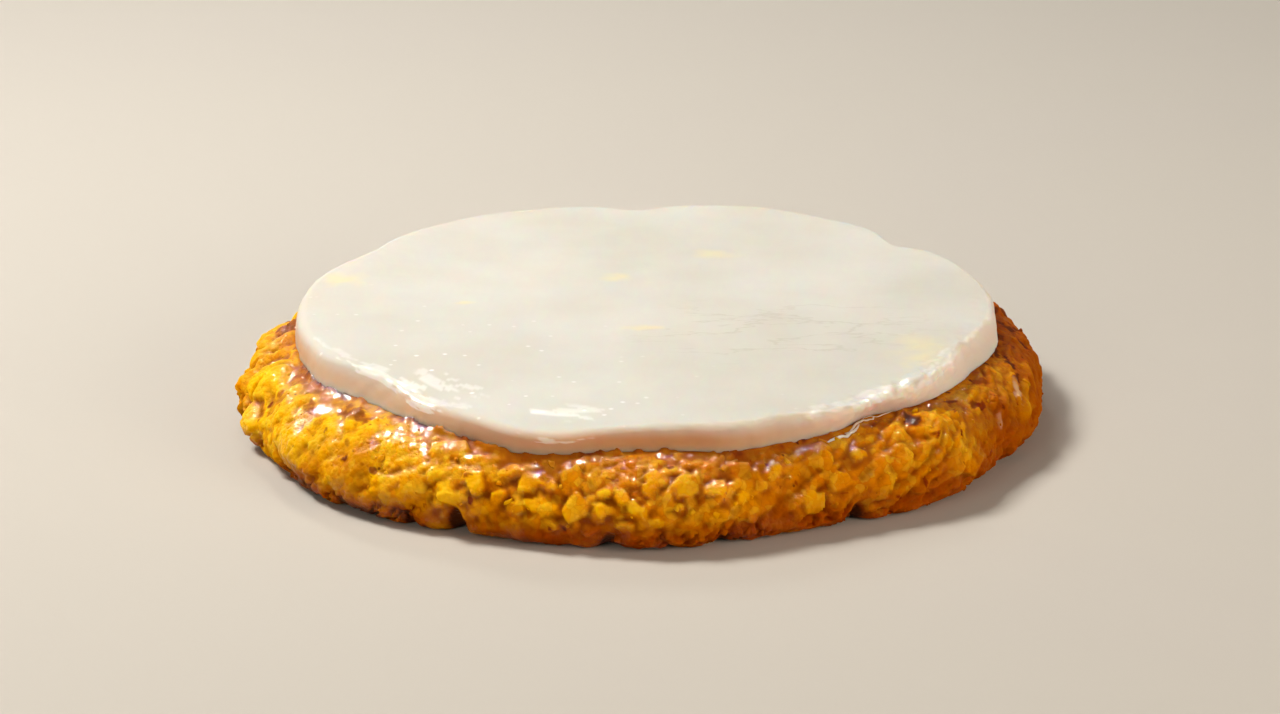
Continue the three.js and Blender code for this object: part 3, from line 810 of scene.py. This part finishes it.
# %% Dents, cut marks and masks of the slice
BUTTER_SPOTS = [(-48.5, 12.0, 5.0, 5.5), (12.5, 26.8, 5.0, 4.0), (42.5, -24.5, 5.0, 9.5),
                (0.5, -13.0, 4.0, 1.6), (-4.0, 14.0, 3.0, 3.0),
                (-28.0, -1.0, 2.4, 1.2)]  # x, y, half width, half depth
DENT_SIZE = 14
CURD_SIZE = 3
CUT_MARK_SIZE = 4.0
NICK_SIZE = 1.6


def down_profile(top, edge, side):
    """A column of one number for each row of the slice: its top, its edge and its side, and 0 underneath."""
    rows = zip((top, edge, side, 0.0), (FACE_ROWS, EDGE_ROWS - 1, SIDE_ROWS - 1, len(under)))
    return np.concatenate([np.broadcast_to(value, count) for value, count in rows])[:, None]


around_edge = np.linspace(0, quarter, EDGE_ROWS)[1:]
on_top = down_profile(1, np.cos(around_edge), 0)
on_side = down_profile(0, np.sin(around_edge), 1)
on_edge = down_profile(smooth((out_share - 0.93) / 0.07), 1, 1 - fall)
near_rim = down_profile(smooth((out_share - 0.84) / 0.06), 1, smooth(1 - 3 * fall))
on_rounding = down_profile(np.arange(FACE_ROWS) >= FACE_ROWS - 3, 1, 0)
soft = 0.28 * cloud(slice_points * np.array([0.6, 1, 1]), DENT_SIZE, 201, 3)
curd = 0.035 * cloud(slice_points * np.array([0.5, 1, 1]), CURD_SIZE, 231, 2)
butter = np.zeros(profile.shape[:2])
for x, y, wide, far in BUTTER_SPOTS:
    away = ((slice_points[..., 0] - x) / wide) ** 2 + ((slice_points[..., 1] - y) / far) ** 2
    butter = np.maximum(butter, smooth((1 - away + 0.5 * cloud(slice_points, 2.5, 251, 3)) / 1.8))
butter *= on_top
ragged = 0.35 + 2.6 * lobes(slice_angle, [(-45, 1, 24)])
ripple = 0.22 * cloud(slice_points * np.array([1, 1, 0.4]), CUT_MARK_SIZE, 241, 3)
nicks = 0.17 * ragged * on_edge * cloud(slice_points, NICK_SIZE, 261, 3)
slice_points[..., 2] += on_top * (soft + curd + nicks) - 0.08 * butter
push = on_side * (ripple + nicks)
slice_points[..., 0] += push * slice_cos
slice_points[..., 1] += push * slice_sin
damp_rim = lobes(slice_angle, [(-127, 1.1, 9), (-103, 1.1, 6), (-148, 0.9, 12), (-46, 1.05, 20)])
arc = np.radians(slice_angle) * SLICE_RADIUS + 0 * profile[..., 0]
torn_film = cloud(np.stack([0.22 * arc, profile[..., 0], profile[..., 1]], axis=-1), 1.1, 271, 4)
film_share = near_rim * lobes(slice_angle, [(-127, 1.2, 9), (-103, 1.2, 6)])
film_share = np.maximum(film_share, on_rounding * damp_rim)
gloss = smooth(6 * (film_share * (0.5 + 1.1 * torn_film) - 0.45))
# Painted highlight: the material paints small drops in this area white, as glints.
dew = on_top * smooth(lobes(slice_angle, [(-130, 1.0, 50)]) * down_profile(out_share, 1, 1))
low_side = (rim_z - slice_points[..., 2]) / (rim_z - foot_z)
# Painted shade and bounce light: the side is darkened and warmed towards the foot, most at the front and on
# the left.
side_shade_amount = 0.2 + lobes(slice_angle, [(-88, 0.8, 26), (-128, 0.45, 20), (-165, 0.6, 20), (90, 0.4, 60)])
soak = on_side * smooth(low_side / 0.6) * (1 - 0.3 * smooth((low_side - 0.7) / 0.3)) * side_shade_amount
# Painted light: the right side of the slice is lightened and made pinker.
dry = on_side * smooth(lobes(slice_angle, [(-28, 1.1, 46)]))
lined = on_top * smooth(1.3 - np.hypot((slice_points[..., 0] - 22) / 26, (slice_points[..., 1] + 14) / 18))
print("share of the slice under butter spots and under film:", butter.mean().round(3), gloss.mean().round(3))

# %% Piece of the slice
fresh_cheese = make_piece("fresh_cheese", slice_points.reshape(-1, 3), *turned_faces(*profile.shape[:2]))
paint(fresh_cheese, butter=butter, soak=soak, gloss=gloss, dew=dew, lined=lined, dry=dry)
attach(fresh_cheese, "root")
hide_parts("cheese_slice")
print("slice triangles:", 2 * SLICE_AROUND * (profile.shape[0] - 1) + 2 * SLICE_AROUND)

# %% [markdown]
# Whey presses out under the slice and dries to thin white strings at its foot. Each is a flat tube that
# follows the skin of the crust: a row of skin points at the same distance from the foot gives its path.

# %% Strings of whey
# Each row is the first and last angle, the distance from the foot and the half width in mm.
STRINGS = [(-62.5, -55.5, 1.5, 0.42), (-58.5, -51.0, 0.9, 0.3), (-54.0, -45.5, 0.45, 0.16)]
STRING_STEPS = 80
STRING_SIDES = 8
STRING_FLATNESS = 0.4


def whey_string(name, start, end, away, half_width):
    """A flat tube along the skin from angle to angle, `away` mm from the slice's foot: an ellipse of
    the half width given and a flatter height, carried along the path and narrowed at both ends."""
    t = np.linspace(0, 1, STRING_STEPS)
    column = np.round(mix(start, end, t) % 360 / 360 * AROUND).astype(int) % AROUND
    wander = 0.35 * cloud(np.stack([t * 9, 0 * t, 0 * t + start], axis=-1), 1.0, 401, 3)
    row = np.argmin(np.abs(beyond_foot[: TOP_ROWS + SHOULDER_ROWS, column] - away - wander), axis=0)
    path = np.stack([np.convolve(np.pad(crust_points[row, column, k], 4, "edge"), np.full(9, 1 / 9), "valid")
                     for k in range(3)], axis=-1)
    out = normal[row, column]
    along = unit(np.gradient(path, axis=0))
    across = np.cross(out, along)
    v = np.arange(STRING_SIDES) * 2 * math.pi / STRING_SIDES
    thick = half_width * np.sqrt(np.sin(math.pi * np.clip(t, 0.004, 0.996))) * (0.75 + 0.5 * wander)
    thick = thick[:, None, None]
    points = (path[:, None] + out[:, None] * (0.18 + thick * STRING_FLATNESS * np.sin(v)[:, None])
              - across[:, None] * thick * np.cos(v)[:, None])
    piece = make_piece(name, points.reshape(-1, 3), *turned_faces(STRING_STEPS, STRING_SIDES))
    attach(piece, "root")
    return piece


strings = [whey_string(f"whey_string_{k}", *row) for k, row in enumerate(STRINGS)]
print("strings of whey:", len(strings))

# %% [markdown]
# ## Materials
#
# Each material reads the masks that the steps above stored on the points, and adds the patterns that are too
# fine for the grid. Object coordinates are in metres, so a pattern of Scale 1000 repeats about once a
# millimetre: every scale below is one thousand over the size of the real thing in millimetres.
#
# Food gets its look from three things. Light sinks in and comes out again nearby and warmer, which the
# subsurface settings give. The bare crumb hardly mirrors anything, so its own gloss is almost off. And what
# does shine is a separate skin of butter or whey, which is the shader's coat with a bump of its own.

# %% Material helpers
def linear(code, alpha=1.0):
    """A hex sRGB colour as linear numbers: divide by 12.92 near black, else the 2.4 power curve."""
    values = np.array([int(code[i : i + 2], 16) for i in (1, 3, 5)]) / 255
    values = np.where(values <= 0.04045, values / 12.92, ((values + 0.055) / 1.055) ** 2.4)
    return (*values.tolist(), alpha)


def plug(node, inputs):
    """Gives sockets of a node a value, a hex colour, or a link from another node's output. `inputs` is a list
    in the order of the sockets, or a dictionary by their names or numbers."""
    for key, value in inputs.items() if isinstance(inputs, dict) else enumerate(inputs):
        socket = node.inputs[key]
        if isinstance(value, bpy.types.NodeSocket):
            node.id_data.links.new(value, socket)
        else:
            socket.default_value = linear(value) if isinstance(value, str) else value


def add(tree, kind, inputs=(), give=0, **settings):
    """Adds a shader node, sets its properties, fills its sockets and gives one of its outputs."""
    node = tree.nodes.new("ShaderNode" + kind)
    for key, value in settings.items():
        setattr(node, key, value)
    plug(node, inputs)
    return node.outputs[give]


def layered(tree, colour, *rows):
    """Lays colours over a first one. Each row is a mask, the two values between which it works, the share of
    the new colour at both of them, and that colour."""
    for mask, low, high, start, end, code in rows:
        share = add(tree, "MapRange", [mask, low, high, start, end])
        colour = add(tree, "Mix", {0: share, 6: colour, 7: code}, 2, data_type="RGBA")
    return colour


def read_masks(tree, names):
    """Outputs that read the masks painted on the points."""
    return [add(tree, "Attribute", give="Fac", attribute_name=name) for name in names.split()]


def start_material(name):
    """An empty node material with its principled shader."""
    material = bpy.data.materials.new(name)
    material.use_nodes = True
    return material, material.node_tree, material.node_tree.nodes["Principled BSDF"]


print("linear number of a middle grey:", round(linear("#808080")[0], 3))

# %% Crust of griddled sweet corn mash
def griddled_corn(name, glow):
    """Fried corn mash: gold-yellow paste with paler kernel skins and orange seams, brown where it fried
    longer, near black where it burnt, and wet amber under the butter. Painted shade darkens its hollows, the
    lower halves of its grains, its splits and its right and lower sides, and painted light makes its left
    yellower.
    `glow` is the share of light that goes through it, which keeps the hollows warm. It makes the eye read
    soft, moist crumb instead of stone."""
    material, tree, shader = start_material(name)
    place = add(tree, "TexCoord", give="Object")
    tone, crease, toast, wet, deep, milk, husk, damp = read_masks(
        tree, "tone crease toast wet deep milk husk damp")
    # Colour drifts over 11 mm, and a mottle of 1.7 mm tears the edges of the flakes.
    broad = add(tree, "TexNoise", {"Vector": place, "Scale": 90.0, "Detail": 3.0})
    mottle = {"Vector": place, "Scale": 600.0, "Detail": 4.0, "Roughness": 0.6}
    torn = {0: 0.0012, 4: place, 5: add(tree, "TexNoise", mottle, "Color")}
    torn = add(tree, "Mix", torn, 1, data_type="VECTOR")
    # Flakes of kernel skin are 1.3 mm wide, and dark specks lie 6 mm apart.
    flake = add(tree, "TexVoronoi", {"Vector": torn, "Scale": 750.0}, "Color")
    seam = add(tree, "TexVoronoi", {"Vector": torn, "Scale": 750.0}, feature="DISTANCE_TO_EDGE")
    speck = add(tree, "TexVoronoi", {"Vector": place, "Scale": 170.0})
    dull = add(tree, "MapRange", [tone, 0.55, 0.8, 1.0, 0.0])
    between = add(tree, "MapRange", [seam, 0.0, 0.1, 1.0, 0.0])
    between = add(tree, "Math", [between, dull], operation="MULTIPLY")
    colour = layered(
        tree, "#e68a00",
        (tone, 0.15, 0.9, 0.0, 1.0, "#ffc000"),
        (broad, 0.35, 0.7, 0.0, 0.4, "#ee9000"),
        (flake, 0.45, 0.7, 0.0, 0.45, "#ffd02a"),
        (between, 0.0, 1.0, 0.0, 0.35, "#d07800"),
        # Painted shade on the right and lower parts, added to longer frying.
        (deep, 0.0, 1.0, 0.0, 0.9, "#9a3c00"),
        # Painted shade in the hollows and under the grains.
        (crease, 0.0, 1.0, 0.0, 0.85, "#8c3c00"),
        (speck, 0.03, 0.05, 0.8, 0.0, "#5e2a06"),
        (wet, 0.0, 1.0, 0.0, 0.6, "#a85a04"),
        # Real toasting, with painted shade along the slice's foot and in the splits and grooves.
        (toast, 0.25, 0.75, 0.0, 0.8, "#963c00"),
        (toast, 0.7, 1.0, 0.0, 0.85, "#43200c"),
        (husk, 0.3, 0.8, 0.0, 0.8, "#7a2008"),
        (milk, 0.0, 1.0, 0.0, 0.7, "#dfb592"),
    )
    # Crumbs and fibres of 0.7 mm give the fine tooth of the dry crumb. Butter levels them out.
    grain = add(tree, "TexVoronoi", {"Vector": place, "Scale": 1400.0})
    fibre = add(tree, "TexNoise", {"Vector": place, "Scale": 1500.0, "Detail": 4.0})
    height = add(tree, "Math", [fibre, grain], operation="SUBTRACT")
    tooth = add(tree, "MapRange", [wet, 0.0, 1.0, 0.6, 0.1])
    bump = add(tree, "Bump", {"Height": height, "Distance": 0.0003, "Strength": tooth})
    # Ripples of 0.8 mm break the shine of the butter into small points.
    ripple = add(tree, "TexNoise", {"Vector": place, "Scale": 1300.0, "Detail": 3.0})
    plug(shader, {
        "Base Color": colour,
        "Roughness": add(tree, "MapRange", [damp, 0.0, 1.0, 0.85, 0.3]),
        "Normal": bump,
        "IOR": 1.45,
        "Specular IOR Level": 0.015,
        "Subsurface Weight": glow,
        "Subsurface Radius": (1.0, 0.5, 0.08),
        "Subsurface Scale": 0.0016,
        "Coat Normal": add(tree, "Bump", {"Height": ripple, "Distance": 0.0003, "Strength": 0.5}),
        "Coat Weight": add(tree, "MapRange", [damp, 0.15, 1.0, 0.0, 0.6]),
        "Coat Roughness": 0.05,
    })
    return material


corn_crust.data.materials.append(griddled_corn("griddled sweet corn", 0.65))
grain_material = griddled_corn("broken corn grains", 0.0)
for piece in grains:
    piece.data.materials.append(grain_material)
print("nodes of the crust's material:", len(grain_material.node_tree.nodes))

# %% Fresh cheese
def moist_cheese():
    """Fresh curd: a milky white that lets light far in, so that edges glow and shadows stay soft. Whey and
    butter lie on it as thin bright smears and drops, with white glints painted on the drops. Its side carries
    painted shade and warm bounce light towards the foot and painted light on the right, and its curd lines
    carry painted shade in their grooves."""
    material, tree, shader = start_material("fresh white cheese")
    place = add(tree, "TexCoord", give="Object")
    butter, soak, gloss, dew, lined, dry = read_masks(tree, "butter soak gloss dew lined dry")
    # The white drifts over 25 mm. Curd lines are 6.7 mm long waves, drawn out three times along X.
    broad = add(tree, "TexNoise", {"Vector": place, "Scale": 40.0, "Detail": 3.0})
    drawn_out = add(tree, "Mapping", {"Vector": place, "Scale": (0.3, 1.0, 1.0)})
    line = add(tree, "TexNoise", {"Vector": drawn_out, "Scale": 150.0, "Detail": 4.0, "Roughness": 0.6})
    apart = add(tree, "Math", [add(tree, "Math", [line, 0.5], operation="SUBTRACT")], operation="ABSOLUTE")
    # The curd lines are grooves in the bump, painted darker: painted shade in the grooves.
    creased = add(tree, "MapRange", [lined, 0.1, 0.9])
    crease = add(tree, "MapRange", [apart, 0.0, 0.02, 1.0, 0.0])
    crease = add(tree, "Math", [crease, creased], operation="MULTIPLY")
    # A pore of 1.1 mm roughens the curd, drops stand 2.4 mm apart, and the film on it ripples over 1.4 mm.
    fine = add(tree, "TexNoise", {"Vector": place, "Scale": 900.0, "Detail": 3.0})
    height = add(tree, "Math", [fine, crease], operation="SUBTRACT")
    to_drop = add(tree, "TexVoronoi", {"Vector": place, "Scale": 420.0})
    some = add(tree, "MapRange", [to_drop.node.outputs["Color"], 0.62, 0.66])
    glint_drop_cells = add(tree, "Math", [dew, some], operation="MULTIPLY")
    # Each drop is painted white: a painted glint.
    glint_drop = add(tree, "MapRange", [to_drop, 0.05, 0.2, 1.0, 0.0])
    glint_drop = add(tree, "Math", [glint_drop, glint_drop_cells], operation="MULTIPLY")
    film = add(tree, "TexNoise", {"Vector": place, "Scale": 700.0, "Detail": 3.0})
    wavy = add(tree, "Math", [film, 0.5, glint_drop], operation="MULTIPLY_ADD")
    shine = add(tree, "Math", [gloss, glint_drop], operation="MAXIMUM")
    colour = layered(
        tree, "#cecdc6",
        (broad, 0.3, 0.7, 0.0, 1.0, "#c4c1b6"),
        # Painted light on the right side.
        (dry, 0.0, 1.0, 0.0, 0.9, "#f2e6da"),
        # Painted shade in the curd lines.
        (crease, 0.0, 1.0, 0.0, 0.32, "#a59e8c"),
        (butter, 0.0, 1.0, 0.0, 0.6, "#dfd39c"),
        # Painted shade and warm bounce light on the side.
        (soak, 0.0, 1.0, 0.0, 0.8, "#cf8c4a"),
        # Painted sheen: the base is lightened under the shiny film, along with its real coat.
        (gloss, 0.0, 1.0, 0.0, 0.5, "#f4f3ef"),
        # Painted glints on the drops.
        (glint_drop, 0.0, 1.0, 0.0, 0.9, "#ffffff"),
    )
    plug(shader, {
        "Base Color": colour,
        "Roughness": add(tree, "MapRange", [gloss, 0.0, 1.0, 0.6, 0.35]),
        "Normal": add(tree, "Bump", {"Height": height, "Distance": 0.00006, "Strength": 0.5}),
        "IOR": 1.42,
        "Specular IOR Level": 0.02,
        "Subsurface Weight": 0.8,
        "Subsurface Radius": (1.0, 0.5, 0.25),
        "Subsurface Scale": 0.004,
        "Coat Normal": add(tree, "Bump", {"Height": wavy, "Distance": 0.0002, "Strength": 0.8}),
        "Coat Weight": add(tree, "MapRange", [shine, 0.1, 1.0, 0.0, 0.7]),
        "Coat Roughness": 0.1,
    })
    return material


cheese_material = moist_cheese()
fresh_cheese.data.materials.append(cheese_material)
print("nodes of the cheese's material:", len(cheese_material.node_tree.nodes))

# %% Dried whey
def dried_whey():
    """Whey that has set to a skin: nearly white, smooth and a little shiny, with cloudy places 2 mm wide that
    tell the eye how thin it is."""
    material, tree, shader = start_material("dried whey")
    place = add(tree, "TexCoord", give="Object")
    cloudy = add(tree, "TexNoise", {"Vector": place, "Scale": 500.0, "Detail": 3.0})
    plug(shader, {
        "Base Color": layered(tree, "#f3eee4", (cloudy, 0.3, 0.7, 0.0, 1.0, "#e2c8ac")),
        "Roughness": 0.25,
        "Normal": add(tree, "Bump", {"Height": cloudy, "Distance": 0.0002, "Strength": 0.5}),
        "IOR": 1.4,
    })
    return material


whey_material = dried_whey()
for piece in strings:
    piece.data.materials.append(whey_material)
print("nodes of the whey's material:", len(whey_material.node_tree.nodes))

# %% [markdown]
# ## Floor, light and camera
#
# The stage is a plain pale floor and soft studio light. A soft key stands to the left and behind, a window
# behind lifts the far edge, and two broad lights fill the front and the right.
#
# Wet food needs small bright lights for its sparkle, and those alone would burn out the cheese. So the two
# jobs are split. The soft lights are hidden from mirrors, and the small ones only show in mirrors: they
# brighten nothing, and each leaves white points where the butter tilts half way between it and the camera.

# %% Floor
FLOOR_HALF = 3.0
floor_mesh = bpy.data.meshes.new("floor")
floor_corners = [(x * FLOOR_HALF, y * FLOOR_HALF, 0) for x, y in ((-1, -1), (1, -1), (1, 1), (-1, 1))]
floor_mesh.from_pydata(floor_corners, [], [(0, 1, 2, 3)])
floor = bpy.data.objects.new("floor", floor_mesh)
bpy.context.scene.collection.objects.link(floor)
floor_material, _, floor_shader = start_material("pale floor")
plug(floor_shader, {"Base Color": "#c9c3ba", "Roughness": 0.9, "Specular IOR Level": 0.0})
floor.data.materials.append(floor_material)
print("floor in m:", [round(v, 2) for v in floor.dimensions])

# %% Lights
from mathutils import Vector

# Each row is the name, the place in m, the power in W, the width in m and the colour.
SOFT_LIGHTS = [("key", (-0.36, 0.096, 0.56), 4.4, 0.17, "#fffcf6"),
               ("fill", (-0.6, -0.9, 0.5), 2.3, 0.5, "#fff4e6"),
               ("bounce", (0.8, -0.55, 0.35), 5.2, 0.5, "#fff0dc"),
               ("window", (-0.11, 0.62, 0.57), 1.2, 0.17, "#fffcf6")]
GLINT_LIGHTS = [("sheen", (-0.36, 0.096, 0.56), 4.5, 0.1, "#fff4de"),
                ("film glint", (-0.145, 0.358, 0.547), 13.0, 0.05, "#fff4de"),
                ("left glint", (-0.4, 0.35, 0.406), 6.0, 0.05, "#fff4de"),
                ("front glint", (-0.06, 0.1, 0.64), 13.0, 0.08, "#fff4de"),
                ("top glint", (-0.11, 0.62, 0.57), 5.0, 0.12, "#fff8ea"),
                ("side glint", (0.3, 0.3, 0.55), 5.0, 0.07, "#fff4de")]
AIM = (0, 0, 0.01)


def softbox(name, place, power, size, colour, glints):
    """A square area light that faces the middle of the cake. It shows in mirrors only if `glints`, and lights
    dull surfaces only if not."""
    light = bpy.data.lights.new(name, "AREA")
    light.energy = power
    light.size = size
    light.color = linear(colour)[:3]
    lamp = bpy.data.objects.new(name, light)
    lamp.location = place
    lamp.rotation_euler = Vector(np.array(AIM) - place).to_track_quat("-Z", "Y").to_euler()
    lamp.visible_glossy = glints
    lamp.visible_diffuse = not glints
    bpy.context.scene.collection.objects.link(lamp)


for rows, glints in ((SOFT_LIGHTS, False), (GLINT_LIGHTS, True)):
    for row in rows:
        softbox(*row, glints)
world = bpy.data.worlds.new("studio")
bpy.context.scene.world = world
world.use_nodes = True
plug(world.node_tree.nodes["Background"], ["#f2f0ec", 0.13])
bpy.context.scene.view_settings.view_transform = "Standard"
print("lights:", [lamp.name for lamp in bpy.data.lights])

# %% Camera
ELEVATION = 19.4
DISTANCE = 0.560
SENSOR = 36
PIXELS_PER_M = 6230
IMAGE_WIDTH, IMAGE_HEIGHT = 1280, 714
ORIGIN_ROW = 405
focal = PIXELS_PER_M * DISTANCE
down_tilt = ELEVATION - math.degrees(math.atan((ORIGIN_ROW - IMAGE_HEIGHT / 2) / focal))
camera_data = bpy.data.cameras.new("camera")
camera_data.sensor_width = SENSOR
camera_data.lens = SENSOR * focal / IMAGE_WIDTH
camera = bpy.data.objects.new("camera", camera_data)
elevation = math.radians(ELEVATION)
camera.location = (0, -DISTANCE * math.cos(elevation), DISTANCE * math.sin(elevation))
camera.rotation_euler = (math.radians(90 - down_tilt), 0, 0)
bpy.context.scene.collection.objects.link(camera)
bpy.context.scene.camera = camera
print("lens in mm:", round(camera_data.lens, 1), "tilt below level in degrees:", round(down_tilt, 1))
